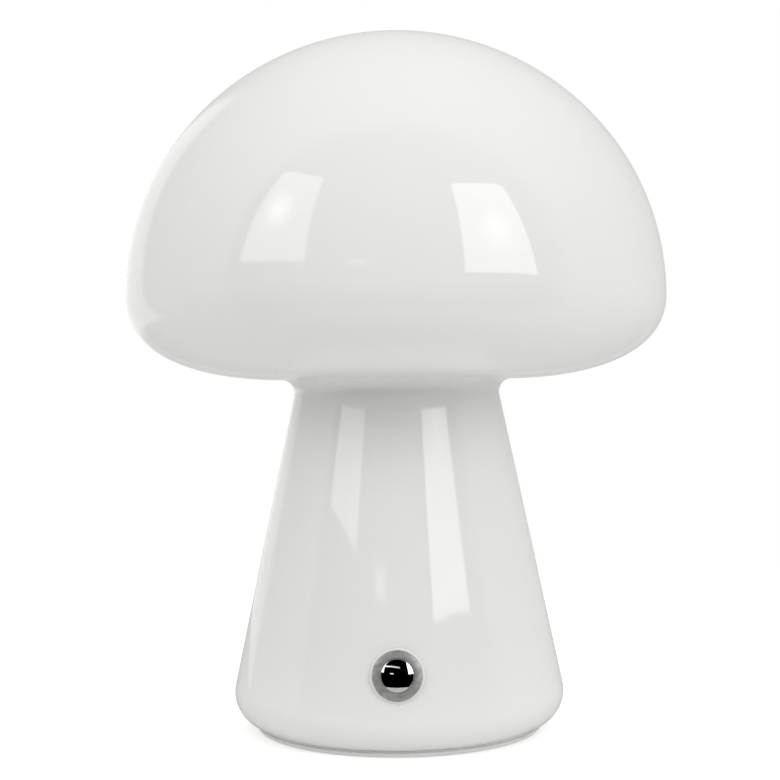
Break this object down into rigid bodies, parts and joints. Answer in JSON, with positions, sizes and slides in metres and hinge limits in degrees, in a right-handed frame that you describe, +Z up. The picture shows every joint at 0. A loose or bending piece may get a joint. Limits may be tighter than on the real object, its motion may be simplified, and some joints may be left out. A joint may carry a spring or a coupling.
{
  "type": "mushroom table lamp",
  "caption": "Cordless table lamp in the shape of a mushroom: a one-piece opal glass cap and tapered stem on a flat base, with a chrome push button near the foot.",
  "frame": {"origin": "middle of the foot pad's underside, on the surface that the lamp stands on", "axes": "+Z up along the lamp's axis; the push button faces -Y and the charging inlet +Y; +X to the right seen from the front"},
  "size_m": [0.18, 0.18, 0.232],
  "materials": {
    "opal_glass": "blown opal white glass, fire-polished",
    "base_plastic": "moulded, fine satin grain",
    "pad_rubber": "soft grey silicone",
    "seal_silicone": "translucent white silicone",
    "gasket_rubber": "dark foam rubber",
    "screw_steel": "zinc plated",
    "spring_steel": "tempered strip and wire",
    "chrome": "polished chrome plating",
    "satin_metal": "frosted grey, fine bead blast",
    "plated_brass": "nickel plated",
    "housing_plastic": "white moulding",
    "black_plastic": "black moulding",
    "cell_can": "shrink sleeve on a metal can",
    "circuit_board": "solder-masked glass epoxy",
    "lead_insulation": "silicone insulation",
    "bright_aluminium": "drawn",
    "led_package": "phosphor in a white package",
    "diffuser_plastic": "milky polycarbonate"
  },
  "bodies": {
    "lamp": {"glass_body": "opal_glass", "rim_gasket": "gasket_rubber", "base_plate": "base_plastic", "foot_pad": "pad_rubber", "housing_screws": "screw_steel", "glass_clips": "spring_steel", "clip_screws": "screw_steel", "inner_housing": "housing_plastic", "battery_cradle": "housing_plastic", "battery_cell": "cell_can", "battery_strap": "housing_plastic", "cell_tabs": "spring_steel", "battery_leads": "lead_insulation", "control_board": "circuit_board", "board_screws": "screw_steel", "board_components": "black_plastic", "lead_sockets": "housing_plastic", "led_post": "bright_aluminium", "post_screws": "screw_steel", "led_heat_spreader": "bright_aluminium", "led_board": "circuit_board", "led_chips": "led_package", "led_board_screws": "screw_steel", "led_leads": "lead_insulation", "led_diffuser": "diffuser_plastic", "button_bezel": "satin_metal", "button_gasket": "seal_silicone", "button_washer": "seal_silicone", "button_nut": "plated_brass", "button_spring": "spring_steel", "tact_switch": "black_plastic", "switch_holder": "black_plastic", "switch_board": "circuit_board", "switch_leads": "lead_insulation", "inlet_bezel": "satin_metal", "inlet_gasket": "seal_silicone", "inlet_washer": "seal_silicone", "inlet_nut": "plated_brass", "inlet_holder": "black_plastic", "usb_shell": "screw_steel", "usb_tongue": "black_plastic", "usb_board": "circuit_board", "inlet_leads": "lead_insulation"},
    "button": {"button_cap": "chrome", "tact_plunger": "black_plastic"}
  },
  "joints": [
    {"name": "button_press", "type": "slide", "parent": "lamp", "child": "button", "axis": [0, 0.9786, -0.2057], "range_m": [0, 0.001], "stiffness_N_per_m": 400, "springref_m": -0.001, "deforming": ["button_spring"]}
  ]
}
